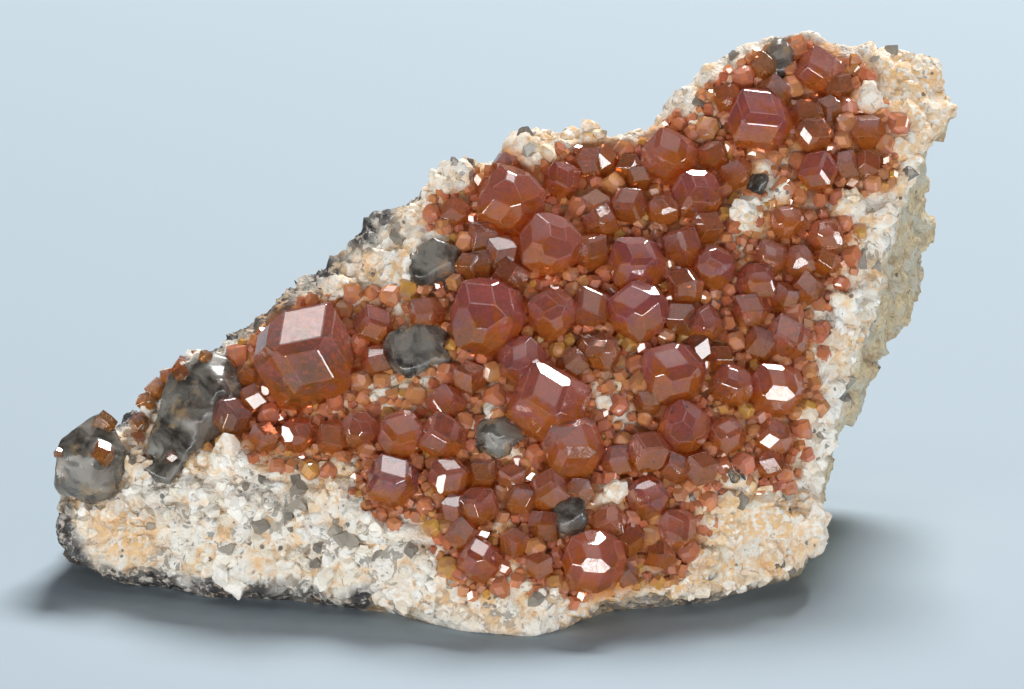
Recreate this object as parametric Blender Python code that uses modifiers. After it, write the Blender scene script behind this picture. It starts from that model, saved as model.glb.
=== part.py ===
"""Garnet in matrix: a wedge of pale feldspar rock that carries smoky quartz
crystals and patches of intergrown garnets. Metres, +Z up.

Places on the specimen are given in millimetres as (across, up, depth). They are
laid out on a plane that leans back by LEAN, through the foot of the front, as
seen from SIGHT in front of it; depth runs from that plane into the specimen.
The origin is the middle of the resting face.
"""

import math
import random

import bmesh
import bpy
import numpy as np
from mathutils import Matrix, Quaternion, Vector, noise

MM = 0.001

LEAN = math.radians(16.0)
SIGHT = 430.0
SIGHT_FOOT = (1.2, 29.55)
SEAT = (-1.8, 26.4, 0.0)
GAP = 0.3
FLAT = math.radians(0.2)

# ---- the rock ---------------------------------------------------------------
HEART = (5.0, 25.0)
ROCK_FINENESS = 6
EDGE_ROUNDING = 1.4
WALL_SHARE = 0.42
BACK_MIDDLE = (0.0, 26.0, 47.0)
BACK_BULGE = 1.5
ROCK_DETAIL = 0.047

# The front's outline: across, up, depth. It starts at the lower right corner.
FRONT_RIM = [
    (32.3, 9.5, 11.0), (32.0, 16.0, 12.0), (33.6, 21.0, 13.5), (35.0, 26.0, 15.0), (36.6, 31.0, 16.0),
    (38.3, 37.0, 18.0), (39.2, 43.0, 19.0), (41.4, 47.5, 20.0), (44.8, 52.5, 23.0), (43.7, 58.3, 25.0),
    (39.5, 59.0, 25.5), (35.0, 59.2, 25.5), (31.5, 60.9, 25.5), (27.5, 60.6, 25.0), (23.0, 58.0, 24.0),
    (19.0, 55.2, 23.0), (15.0, 51.0, 22.0), (11.0, 49.5, 21.5), (7.0, 50.5, 21.5), (2.5, 50.4, 21.0),
    (-1.0, 48.5, 20.5), (-5.0, 47.4, 20.0), (-9.0, 43.8, 19.0), (-13.0, 41.8, 18.5), (-17.0, 37.5, 18.0),
    (-21.5, 34.0, 17.5), (-25.5, 30.8, 17.0), (-30.0, 27.8, 17.0), (-34.0, 24.0, 17.0), (-37.5, 21.2, 17.0),
    (-41.5, 20.5, 17.0), (-43.6, 17.5, 16.5), (-44.2, 12.5, 14.5), (-43.0, 8.3, 12.5), (-39.5, 6.6, 11.0),
    (-30.0, 5.6, 8.5), (-20.0, 4.8, 6.0), (-12.0, 4.2, 4.0), (-6.5, 2.4, 2.2), (-1.0, 0.7, 0.6),
    (3.0, 0.2, 0.0), (6.5, 1.4, 1.2), (10.0, 4.1, 2.6), (16.0, 4.5, 4.5), (23.0, 5.0, 7.0), (29.0, 6.6, 9.5),
]
# The relief inside that outline, over the broken band at the foot and the slope above it.
RELIEF = [
    (-39.0, 12.0, 12.5), (-31.0, 13.5, 9.5), (-22.0, 14.5, 7.5), (-14.0, 12.5, 5.4), (-7.5, 9.5, 3.0),
    (0.0, 6.5, 1.4), (8.0, 7.5, 2.6), (16.0, 9.0, 5.0), (24.0, 12.5, 7.5), (30.0, 18.0, 10.5),
    (-36.0, 17.5, 15.0), (-28.0, 22.5, 13.5), (-20.0, 21.0, 11.5), (-20.0, 28.0, 14.5), (-12.0, 22.0, 9.5),
    (-12.0, 33.0, 14.5), (-5.0, 19.5, 7.0), (-4.0, 30.0, 11.5), (-5.0, 40.0, 16.5), (4.0, 15.0, 5.0),
    (4.0, 25.0, 8.5), (4.0, 35.0, 12.5), (5.0, 44.0, 17.5), (13.0, 18.0, 6.5), (13.0, 30.0, 11.0),
    (13.0, 42.0, 17.0), (20.0, 27.0, 11.0), (21.0, 36.0, 14.5), (21.0, 46.0, 19.0), (27.0, 24.0, 11.5),
    (29.0, 34.0, 15.0), (31.0, 43.0, 18.0), (29.0, 52.0, 21.5), (37.0, 49.0, 20.5), (37.0, 55.0, 23.5),
]
# The outline of the back, seen through the rock from the same side.
BACK_RIM = [
    (28.0, 4.0, 37.0), (31.0, 14.0, 40.0), (34.0, 22.0, 42.0), (38.3, 28.0, 43.0), (41.0, 33.0, 43.5),
    (42.2, 39.0, 43.5), (42.4, 45.0, 42.0), (40.5, 52.0, 39.0), (34.0, 56.5, 37.0), (27.0, 57.5, 36.0),
    (20.0, 52.5, 36.0), (10.0, 46.5, 36.0), (-2.0, 45.5, 36.0), (-12.0, 39.5, 35.0), (-24.0, 30.0, 33.0),
    (-35.0, 22.0, 31.0), (-40.5, 17.5, 30.0), (-41.5, 10.0, 29.0), (-37.0, 3.5, 30.0), (-25.0, -3.0, 34.0),
    (-5.0, -6.0, 38.0), (15.0, -3.0, 38.0),
]
# Feldspar blocks that stand out of the rock: across, up, size.
FELDSPAR_BLOCKS = [
    (36.7, 54.0, 3.2), (28.1, 44.3, 2.3), (24.4, 42.2, 2.2), (38.3, 42.4, 2.4), (34.6, 43.3, 3.2),
    (34.5, 33.6, 2.8), (34.2, 30.6, 2.6), (-35.6, 16.8, 3.0), (-30.4, 14.6, 2.8), (-33.2, 12.2, 2.6),
    (-27.6, 17.6, 3.0), (-29.0, 11.4, 2.4), (-25.6, 13.4, 2.6), (-8.8, 38.2, 2.4), (-16.6, 35.0, 2.8),
    (-13.0, 38.2, 2.4), (-4.2, 46.4, 3.4), (2.2, 48.8, 3.2), (-0.6, 22.2, 1.8), (27.0, 13.4, 3.0),
    (23.4, 14.2, 2.4), (20.6, 7.8, 2.8), (19.8, 12.2, 2.0), (-16.2, 14.2, 2.8), (-13.0, 11.6, 2.6),
    (-20.0, 12.0, 2.6), (30.6, 12.0, 2.8), (-7.6, 7.8, 2.4), (4.6, 4.6, 2.4), (12.0, 5.6, 2.2),
]

# ---- quartz -----------------------------------------------------------------
# across, up, half sizes along its own three axes, turn in the plane (degrees), how far it stands out.
QUARTZ = {
    "quartz_left_end": (-40.6, 17.0, (3.9, 4.4, 5.2), 8.0, 0.2),
    "quartz_left": (-31.0, 20.4, (3.9, 4.0, 9.0), 21.0, 0.0),
    "quartz_centre": (-7.9, 27.8, (3.9, 3.4, 4.6), 66.0, -0.15),
    "quartz_upper_left": (-6.6, 37.3, (2.7, 2.2, 3.6), 60.0, 0.3),
    "quartz_low_centre": (0.0, 19.9, (2.9, 2.6, 3.1), 10.0, 0.1),
    "quartz_low_dark": (6.9, 12.1, (1.9, 1.9, 2.4), 30.0, 0.35),
    "quartz_summit": (27.8, 58.0, (1.5, 1.5, 2.6), 6.0, 0.4),
    "quartz_upper_right": (25.9, 45.4, (1.5, 1.4, 1.9), 20.0, 0.3),
    "quartz_low_right": (23.1, 16.2, (1.4, 1.3, 1.9), -15.0, 0.3),
}

# ---- garnets ----------------------------------------------------------------
# across, up, radius; a large one may add the direction of its brightest facet
# (degrees to the right, degrees above the level, roll about that direction).
GARNETS = {
    "garnets_left": [
        (-19.4, 28.2, 5.6, (-3, 62, 118)), (-14.0, 21.0, 2.2), (-9.8, 20.4, 2.7),
        (-5.7, 20.2, 2.5, (8, 50, 20)), (-5.0, 16.2, 2.3), (-10.7, 15.8, 2.8), (-5.4, 23.7, 2.0),
        (-12.6, 31.4, 2.2), (-12.4, 28.0, 1.6), (-7.3, 32.6, 1.9), (-3.2, 26.2, 1.8), (-16.6, 20.2, 1.9),
        (-20.2, 20.4, 2.1), (-23.6, 20.2, 1.7),
    ],
    "garnets_far_left": [
        (-26.9, 22.3, 2.3), (-24.9, 24.0, 1.5), (-25.3, 26.3, 1.1),
    ],
    "garnets_centre": [
        (-1.3, 32.2, 4.5, (-8, 52, 30)), (5.2, 32.6, 2.9, (-22, 40, 60)), (2.3, 27.8, 2.8),
        (4.9, 23.6, 4.2, (-6, 44, 15)), (7.3, 19.3, 3.5, (4, 38, 70)), (9.1, 33.2, 2.3, (0, 40, 35)),
        (10.2, 28.8, 2.2), (13.8, 32.8, 3.5, (-14, 46, 80)), (7.4, 27.6, 1.5), (9.0, 29.4, 1.5),
        (-1.6, 37.6, 1.6), (0.9, 36.2, 1.9),
    ],
    "garnets_upper": [
        (1.1, 43.8, 3.9, (4, 58, 10)), (5.0, 39.4, 3.7, (14, 44, 50)), (9.2, 38.8, 2.0),
        (-1.5, 40.2, 1.8), (0.4, 38.6, 1.9), (-3.0, 37.4, 1.6), (-4.4, 42.8, 1.5), (0.7, 47.4, 1.5),
        (6.2, 46.0, 2.1), (8.8, 47.7, 1.6), (10.4, 48.0, 1.5), (13.0, 47.3, 1.5), (9.5, 43.5, 1.7),
        (10.0, 41.6, 2.0), (12.8, 43.5, 2.1), (14.0, 46.1, 1.5),
    ],
    "garnets_ridge": [
        (16.9, 48.3, 3.0, (2, 46, 25)), (19.8, 44.5, 2.9, (10, 42, 65)), (21.3, 48.4, 1.6),
        (23.7, 46.7, 1.7), (20.6, 41.4, 1.9), (16.4, 43.0, 2.0), (18.3, 39.3, 2.2),
        (13.6, 37.6, 3.2, (-4, 50, 45)), (21.4, 37.2, 2.5), (18.6, 35.3, 2.0), (18.0, 32.2, 1.9),
        (20.3, 31.5, 2.1),
    ],
    "garnets_summit": [
        (26.0, 51.8, 3.6, (2, 52, 40)), (27.6, 54.6, 1.9), (32.0, 56.9, 2.5, (6, 46, 20)),
        (30.8, 52.5, 1.8), (31.3, 50.6, 2.1), (33.8, 55.3, 1.6), (26.6, 57.2, 1.5), (22.7, 54.2, 1.5),
        (33.0, 53.2, 1.5),
    ],
    "garnets_upper_right": [
        (31.8, 46.8, 2.3), (34.5, 47.4, 1.6), (36.8, 47.5, 1.5), (36.7, 50.8, 1.9),
    ],
    "garnets_right": [
        (28.7, 41.8, 2.0), (27.0, 38.2, 2.0), (29.8, 37.8, 2.0), (32.5, 40.4, 2.0), (32.6, 37.8, 1.5),
        (25.7, 35.7, 2.2), (30.6, 35.2, 1.7), (28.4, 34.2, 1.6), (25.1, 33.0, 1.9),
        (28.7, 30.2, 2.4, (8, 44, 30)), (26.0, 29.5, 1.8), (27.6, 25.0, 3.0, (0, 40, 55)),
        (23.3, 25.4, 2.5, (-4, 54, 15)), (22.0, 28.2, 1.5), (27.4, 20.1, 2.0), (22.7, 20.5, 2.1),
    ],
    "garnets_middle_right": [
        (17.2, 26.6, 3.6, (-6, 48, 60)), (18.4, 21.2, 3.0, (10, 36, 35)), (14.8, 18.8, 2.4),
        (14.8, 23.8, 1.5), (11.7, 17.9, 1.7), (20.0, 17.2, 1.9), (27.0, 17.6, 1.5), (17.6, 17.2, 1.6),
        (19.9, 29.2, 1.6),
    ],
    "garnets_lower": [
        (9.4, 7.8, 3.6, (-4, 42, 50)), (12.9, 10.1, 1.7), (10.9, 11.7, 2.0), (14.8, 14.2, 2.4),
        (17.6, 11.0, 2.3), (16.0, 8.6, 1.6), (12.3, 6.4, 1.6),
    ],
    "garnets_foot": [
        (-2.0, 7.9, 2.3), (-3.7, 10.5, 1.7), (1.4, 9.8, 1.6), (-2.2, 13.3, 2.2), (1.2, 16.2, 1.6),
        (-1.7, 16.5, 1.6), (2.0, 14.0, 1.7), (4.8, 14.8, 2.2), (4.4, 11.4, 1.7), (4.0, 7.4, 1.5),
        (8.0, 14.8, 1.6), (-4.6, 13.0, 1.6),
    ],
}
# Small garnets that grow straight from the rock's edge.
EDGE_GARNETS = [
    (-36.1, 18.2, 0.9), (-36.1, 20.0, 0.9), (-36.0, 21.7, 1.1), (-35.3, 23.8, 1.1), (-34.3, 25.1, 1.1),
    (-32.9, 26.3, 1.1), (-31.7, 27.3, 1.1), (-30.4, 28.1, 0.9),
]
MANY_FACED = 3.55
STANDS_OUT = 0.28
ROOT = 1.0
FACET_WANDER = 0.05
SEAT_DEPTH = 1.7
SEAT_MARGIN = 0.5
SEAT_SLOPE = 2.2
CRUST_FROM = -1.3
CRUST_TO = 0.0
PATCH_DETAIL = 0.55
WIDE_GAP = 0.4
PATCH_GAP = 0.45
CRUST_MARGIN = 0.7
CRUST_INSET = 2.7
CRUST_CELL = 2.8

ROCK_COLOUR = (0.74, 0.66, 0.54, 1.0)
QUARTZ_COLOUR = (0.17, 0.15, 0.13, 1.0)
GARNET_COLOUR = (0.42, 0.09, 0.03, 1.0)


# ---- layout -----------------------------------------------------------------
RIGHT = np.array([1.0, 0.0, 0.0])
UPWARD = np.array([0.0, math.sin(LEAN), math.cos(LEAN)])
INWARD = np.array([0.0, math.cos(LEAN), -math.sin(LEAN)])
EYE = SIGHT_FOOT[0] * RIGHT + SIGHT_FOOT[1] * UPWARD - SIGHT * INWARD


def place(across, up, depth):
    """World points, in metres, of a place or of arrays of places on the specimen."""
    across = np.asarray(across, float)[..., None]
    up = np.asarray(up, float)[..., None]
    depth = np.asarray(depth, float)[..., None]
    drawn = across * RIGHT + up * UPWARD
    return (EYE + (drawn - EYE) * (1 + depth / SIGHT) - np.array(SEAT)) * MM


def smooth_field(points):
    """A thin sheet bent to pass through every (across, up, depth) given."""
    points = np.array(points)
    spots = points[:, :2]
    count = len(points)

    def bend(distance):
        return distance ** 2 * np.log(distance + 1e-9)

    system = np.zeros((count + 3, count + 3))
    system[:count, :count] = bend(np.linalg.norm(spots[:, None] - spots[None], axis=2))
    system[:count, count] = system[count, :count] = 1
    system[:count, count + 1:] = spots
    system[count + 1:, :count] = spots.T
    weights = np.linalg.solve(system, np.append(points[:, 2], np.zeros(3)))

    def depth_at(across, up):
        at = np.stack([np.ravel(across), np.ravel(up)], axis=1)
        bent = bend(np.linalg.norm(at[:, None] - spots[None], axis=2)) @ weights[:count]
        return bent + weights[count] + at @ weights[count + 1:]

    return depth_at


front_depth = smooth_field(FRONT_RIM + RELIEF)


def rim_at(rim, angle):
    """(across, up, depth) where the rim meets each direction from the heart."""
    rim = np.array(rim)
    offset = rim[:, :2] - np.array(HEART)
    angles = np.arctan2(offset[:, 1], offset[:, 0])
    reach = 1 / np.interp(angle, angles, 1 / np.hypot(offset[:, 0], offset[:, 1]), period=2 * math.pi)
    depth = np.interp(angle, angles, rim[:, 2], period=2 * math.pi)
    return HEART[0] + reach * np.cos(angle), HEART[1] + reach * np.sin(angle), depth


def inside_front(across, up):
    """How far inside the front's outline each place lies, towards the heart."""
    rim_across, rim_up, _ = rim_at(FRONT_RIM, np.arctan2(up - HEART[1], across - HEART[0]))
    reach = np.hypot(rim_across - HEART[0], rim_up - HEART[1])
    return reach - np.hypot(across - HEART[0], up - HEART[1])


def garnet_cover(across, up, names=tuple(GARNETS), margin=0.0):
    """How far inside a garnet's outline each place lies, in millimetres (negative outside)."""
    every = np.array([crystal[:3] for name in names for crystal in GARNETS[name]])
    gaps = np.hypot(across[:, None] - every[None, :, 0], up[:, None] - every[None, :, 1])
    return (every[None, :, 2] + margin - gaps).max(axis=1)


# ---- mesh helpers -----------------------------------------------------------
def new_collection(name):
    collection = bpy.data.collections.new(name)
    bpy.context.scene.collection.children.link(collection)
    return collection


def new_object(bm, name, collection):
    mesh = bpy.data.meshes.new(name)
    bm.to_mesh(mesh)
    bm.free()
    made = bpy.data.objects.new(name, mesh)
    collection.objects.link(made)
    return made


def new_material(name, colour, roughness, metallic=0.0):
    material = bpy.data.materials.new(name)
    material.use_nodes = True
    shader = material.node_tree.nodes["Principled BSDF"]
    shader.inputs["Base Color"].default_value = colour
    shader.inputs["Roughness"].default_value = roughness
    shader.inputs["Metallic"].default_value = metallic
    material.diffuse_color = colour
    return material


def settle(made):
    """Applies an object's modifiers."""
    graph = bpy.context.evaluated_depsgraph_get()
    mesh = bpy.data.meshes.new_from_object(made.evaluated_get(graph))
    made.modifiers.clear()
    old, made.data = made.data, mesh
    bpy.data.meshes.remove(old)


def slice_off(bm, point, normal):
    """Cuts away what lies beyond a plane and closes the cut."""
    everything = bm.verts[:] + bm.edges[:] + bm.faces[:]
    cut = bmesh.ops.bisect_plane(bm, geom=everything, plane_co=point, plane_no=normal,
                                 clear_outer=True, dist=1e-7)
    edges = [item for item in cut["geom_cut"] if isinstance(item, bmesh.types.BMEdge)]
    if edges:
        bmesh.ops.holes_fill(bm, edges=edges)


def closed_volume(mesh):
    """The volume inside a mesh, or nothing where it isn't closed."""
    bm = bmesh.new()
    bm.from_mesh(mesh)
    volume = bm.calc_volume(signed=True) if all(edge.is_manifold for edge in bm.edges) else None
    bm.free()
    return volume


def combined(made, other, operation, solver):
    step = made.modifiers.new("combine", "BOOLEAN")
    step.object = other
    step.operation = operation
    step.solver = solver
    graph = bpy.context.evaluated_depsgraph_get()
    mesh = bpy.data.meshes.new_from_object(made.evaluated_get(graph))
    made.modifiers.remove(step)
    return mesh


def combine(made, other, operation):
    """Joins the other object to this one, or cuts it out of this one. Over these long
    chains of unions the exact solver drops whole crystals, so the manifold solver leads
    and the exact one serves where that leaves the mesh open."""
    mesh = combined(made, other, operation, "MANIFOLD")
    if closed_volume(mesh) is None:
        bpy.data.meshes.remove(mesh)
        mesh = combined(made, other, operation, "EXACT")
    old, made.data = made.data, mesh
    bpy.data.meshes.remove(old)


def bodies_of(bm):
    """The bmesh's separate bodies, as lists of faces."""
    unseen = set(bm.faces)
    bodies = []
    while unseen:
        body = [unseen.pop()]
        for face in body:
            near = {other for edge in face.edges for other in edge.link_faces} & unseen
            unseen -= near
            body.extend(near)
        bodies.append(body)
    return bodies


def keep_one_body(made):
    """Leaves the largest body, drops the crumbs that a cut leaves, and joins its flat
    faces where that keeps it closed."""
    bm = bmesh.new()
    bm.from_mesh(made.data)
    bodies = sorted(bodies_of(bm), key=len)
    for body in bodies[:-1]:
        bmesh.ops.delete(bm, geom=body, context="FACES")
    bmesh.ops.triangulate(bm, faces=bm.faces)
    bm.to_mesh(made.data)
    bmesh.ops.dissolve_limit(bm, angle_limit=FLAT, verts=bm.verts, edges=bm.edges)
    bmesh.ops.triangulate(bm, faces=bm.faces)
    flat = bpy.data.meshes.new(made.name)
    bm.to_mesh(flat)
    bm.free()
    if closed_volume(flat):
        made.data = flat


def thin_out(made, ratio, coarse=None):
    """Leaves a share of the triangles, fewest where the coarse group is strong. The
    share rises a little where it would leave the mesh open."""
    thin = made.modifiers.new("thin out", "DECIMATE")
    if coarse:
        thin.vertex_group = coarse.name
        thin.vertex_group_factor = 12.0
    for attempt in range(10):
        thin.ratio = ratio * (1 + 0.02 * attempt)
        graph = bpy.context.evaluated_depsgraph_get()
        mesh = bpy.data.meshes.new_from_object(made.evaluated_get(graph))
        closed = closed_volume(mesh)
        bpy.data.meshes.remove(mesh)
        if closed:
            break
    settle(made)
    made.vertex_groups.clear()


def reaches(made, other):
    """Whether two objects' boxes meet."""
    low, high = box_of(made)
    other_low, other_high = box_of(other)
    return all(low[i] < other_high[i] and other_low[i] < high[i] for i in range(3))


def box_of(made):
    corners = [made.matrix_world @ Vector(corner) for corner in made.bound_box]
    return [min(c[i] for c in corners) for i in range(3)], [max(c[i] for c in corners) for i in range(3)]


# ---- the rock ---------------------------------------------------------------
def rock_shape(directions):
    """The rock's points for the points of a unit ball: its front half becomes the
    front, a band behind the equator the broken sides, and the rest the back."""
    angle = np.arctan2(directions[:, 2], directions[:, 0])
    swing = np.arccos(np.clip(-directions[:, 1], -1, 1)) / (math.pi / 2)
    across, up, _ = rim_at(FRONT_RIM, angle)
    share = np.clip(swing, 0, 1)
    inner_across = HEART[0] + (across - HEART[0]) * share
    inner_up = HEART[1] + (up - HEART[1]) * share
    depth = front_depth(inner_across, inner_up) + EDGE_ROUNDING * (1 - np.sqrt(1 - share ** 10))
    points = place(inner_across, inner_up, depth)

    back_rim = place(*rim_at(BACK_RIM, angle))
    wall = np.clip((swing - 1) / WALL_SHARE, 0, 1)[:, None]
    points = points * (1 - wall) + back_rim * wall
    towards_middle = np.clip((swing - 1 - WALL_SHARE) / (1 - WALL_SHARE), 0, 1)[:, None]
    points = points * (1 - towards_middle) + place(*BACK_MIDDLE) * towards_middle
    points[:, 1] += BACK_BULGE * MM * np.sin(towards_middle[:, 0] * math.pi)
    return points, inner_across, inner_up, swing


def lump(point, cover):
    """How far the surface stands out at a point: breaks and grains where it is bare,
    and a shallow seat where garnets cover it."""
    spot = Vector(point) / MM
    breaks = 0.8 * noise.noise(spot / 9.0) + 0.45 * noise.noise(spot / 4.0 + Vector((7, 3, 1)))
    grain = 0.75 - 0.9 * noise.voronoi(spot / 2.6)[0][0]
    return ((breaks + grain) * (1 - cover) - SEAT_DEPTH * cover) * MM


def build_rock(collection):
    bm = bmesh.new()
    bmesh.ops.create_icosphere(bm, subdivisions=ROCK_FINENESS, radius=1.0)
    points, across, up, swing = rock_shape(np.array([v.co for v in bm.verts]))
    covered = np.clip((garnet_cover(across, up) + SEAT_MARGIN) / SEAT_SLOPE, 0, 1) * (swing < 0.97)
    for vertex, point in zip(bm.verts, points):
        vertex.co = point
    bmesh.ops.recalc_face_normals(bm, faces=bm.faces)
    bm.normal_update()
    for vertex, point, cover in zip(bm.verts, points, covered):
        vertex.co = Vector(point) + vertex.normal * lump(point, cover)
    rock = new_object(bm, "rock", collection)
    plainness = np.where(swing < 1.0, 0.05 + 0.95 * covered, np.clip(0.15 + 0.6 * (swing - 1), 0, 0.7))
    coarse = rock.vertex_groups.new(name="coarse")
    for index, weight in enumerate(plainness):
        coarse.add([index], float(weight), "REPLACE")
    thin_out(rock, ROCK_DETAIL, coarse)
    return rock


def rest_flat(rock):
    """Cuts the flat face that the rock lies on."""
    bm = bmesh.new()
    bm.from_mesh(rock.data)
    slice_off(bm, (0, 0, 0), (0, 0, -1))
    bmesh.ops.triangulate(bm, faces=bm.faces)
    bm.to_mesh(rock.data)
    bm.free()


def swollen(made, name, by, collection):
    """A copy whose surface stands out by a distance, for cutting room round it."""
    bm = bmesh.new()
    bm.from_mesh(made.data)
    bm.normal_update()
    for vertex in bm.verts:
        vertex.co += vertex.normal * by * MM
    return new_object(bm, name, collection)


def surface_turn(dice):
    """A random turn."""
    axis = Vector([dice.uniform(-1, 1) for _ in range(3)]).normalized()
    return Quaternion(axis, dice.uniform(0, 2 * math.pi))


def feldspar_block(number, grow, collection):
    """A cleaved block with its corners and edges chipped."""
    across, up, size = FELDSPAR_BLOCKS[number]
    dice = random.Random(number)
    block = bmesh.new()
    bmesh.ops.create_cube(block, size=1.0)
    half = [size * dice.uniform(0.42, 0.56) for _ in range(3)]
    bmesh.ops.scale(block, vec=[(side + grow) * 2 * MM for side in half], verts=block.verts)
    for _ in range(5):
        normal = Vector([dice.choice((-1, 1)) * dice.uniform(0.5, 1) for _ in range(3)]).normalized()
        slice_off(block, normal * (size * dice.uniform(0.56, 0.66) + grow) * MM, normal)
    turn = surface_turn(dice).to_matrix().to_4x4()
    spot = Vector(place(across, up, front_depth(across, up)[0] - size * 0.05))
    bmesh.ops.transform(block, matrix=Matrix.Translation(spot) @ turn, verts=block.verts)
    return new_object(block, "feldspar_block", collection)


# ---- quartz -----------------------------------------------------------------
def build_quartz(name, grow, collection):
    """A six-sided crystal with a blunt, worn point at its upper end."""
    across, up, half, turn, out = QUARTZ[name.removesuffix("_seat")]
    dice = random.Random(name.removesuffix("_seat"))
    bm = bmesh.new()
    longest = max(half) * 2
    bmesh.ops.create_cube(bm, size=longest * 2 * MM)
    half_x, half_y, half_z = half
    for step in range(6):
        angle = math.radians(60 * step + dice.uniform(-5, 5))
        normal = Vector((math.cos(angle), math.sin(angle), dice.uniform(-0.08, 0.08))).normalized()
        reach = math.hypot(half_x * math.cos(angle), half_y * math.sin(angle)) * dice.uniform(0.94, 1.04)
        slice_off(bm, normal * (reach + grow) * MM, normal)
        for tip in (1, -1):
            slope = Vector((math.cos(angle), math.sin(angle), tip * dice.uniform(0.75, 1.1))).normalized()
            reach = math.hypot(half_x * 0.62, half_z * 0.72) * dice.uniform(0.9, 1.06)
            slice_off(bm, slope * (reach + grow) * MM, slope)
    upright = Matrix.Rotation(-LEAN, 4, "X") @ Matrix.Rotation(math.radians(turn), 4, "Y")
    depth = front_depth(across, up)[0] + half_y * (0.4 - out)
    spot = Vector(place(across, up, depth))
    bmesh.ops.transform(bm, matrix=Matrix.Translation(spot) @ upright, verts=bm.verts)
    return new_object(bm, name, collection)


# ---- garnets ----------------------------------------------------------------
def unit_normals():
    """The twelve faces of the rhombic dodecahedron and the 24 of the trapezohedron."""
    twelve = []
    many = []
    for first in (-1, 1):
        for second in (-1, 1):
            twelve += [(first, second, 0), (0, first, second), (second, 0, first)]
            for third in (-1, 1):
                many += [(2 * first, second, third), (first, 2 * second, third), (first, second, 2 * third)]
    return [Vector(v).normalized() for v in twelve], [Vector(v).normalized() for v in many]


DODECAHEDRON, TRAPEZOHEDRON = unit_normals()
DODECAHEDRON_FACET = Vector((1, 1, 0)).normalized()


def facing(right, above, roll):
    """The turn that points the facet (110) to the given side and height."""
    right, above = math.radians(right), math.radians(above)
    way = Vector((math.sin(right) * math.cos(above), -math.cos(right) * math.cos(above), math.sin(above)))
    onto = DODECAHEDRON_FACET.rotation_difference(way)
    return Quaternion(way, math.radians(roll)) @ onto


def surface_at(across, up):
    """The point of the drawn front at a place, and the way it faces there."""
    near_across = np.array([across, across + 1, across])
    near_up = np.array([up, up, up + 1])
    points = place(near_across, near_up, front_depth(near_across, near_up))
    middle, beside, above = [Vector(point) for point in points]
    return middle, (beside - middle).cross(above - middle).normalized()


def build_garnet(name, crystal, number, grow, collection):
    across, up, radius = crystal[:3]
    dice = random.Random(1000 + number)
    wild = (dice.uniform(-35, 35), dice.uniform(25, 65), dice.uniform(0, 360))
    turn = facing(*(crystal[3] if len(crystal) > 3 else wild))
    depth = front_depth(across, up)[0] - STANDS_OUT * radius
    inner = radius * 0.87
    shape = bmesh.new()
    bmesh.ops.create_cube(shape, size=radius * 4 * MM)
    for normal in DODECAHEDRON:
        reach = inner * (1 + dice.uniform(-FACET_WANDER, FACET_WANDER)) + grow
        slice_off(shape, normal * reach * MM, normal)
    if radius >= MANY_FACED:
        for normal in TRAPEZOHEDRON:
            reach = inner * (1.085 + dice.uniform(-FACET_WANDER, FACET_WANDER)) + grow
            slice_off(shape, normal * reach * MM, normal)
    spot = Matrix.Translation(Vector(place(across, up, depth)))
    bmesh.ops.transform(shape, matrix=spot @ turn.to_matrix().to_4x4(), verts=shape.verts)
    root, outward = surface_at(across, up)
    slice_off(shape, root - outward * (ROOT + grow) * MM, -outward)
    return new_object(shape, name, collection)


def crust_cells(name):
    """Which cells of a square net over a patch belong to its crust, and the net's corner."""
    crystals = np.array([crystal[:3] for crystal in GARNETS[name]])
    corner = crystals[:, :2].min(axis=0) - crystals[:, 2].max() - CRUST_MARGIN
    far = crystals[:, :2].max(axis=0) + crystals[:, 2].max() + CRUST_MARGIN
    across_count, up_count = np.ceil((far - corner) / CRUST_CELL).astype(int)
    across, up = np.meshgrid(np.arange(across_count) + 0.5, np.arange(up_count) + 0.5, indexing="ij")
    across, up = corner[0] + across * CRUST_CELL, corner[1] + up * CRUST_CELL
    inside = garnet_cover(across.ravel(), up.ravel(), [name], CRUST_MARGIN) > 0
    inside &= inside_front(across.ravel(), up.ravel()) > CRUST_INSET
    inside = inside.reshape(across_count, up_count)
    while True:
        # Cells that meet only at a corner get their neighbours, so that the sheet has no pinched point.
        a, b, c, d = inside[:-1, :-1], inside[1:, :-1], inside[:-1, 1:], inside[1:, 1:]
        pinched = (a & d & ~b & ~c) | (b & c & ~a & ~d)
        if not pinched.any():
            return inside, corner
        for i, j in np.argwhere(pinched):
            inside[i:i + 2, j:j + 2] = True


def outward_step(vertex):
    """The sides of a square net that a vertex lies on, as a step of one outwards."""
    sides = set()
    for edge in vertex.link_edges:
        if edge.is_boundary:
            middle = (edge.verts[0].co + edge.verts[1].co) / 2
            away = middle - edge.link_faces[0].calc_center_median()
            sides.add((round(math.copysign(abs(away.x) > abs(away.y), away.x)),
                       round(math.copysign(abs(away.y) > abs(away.x), away.y))))
    return [sum(side[axis] for side in sides) for axis in (0, 1)]


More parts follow.
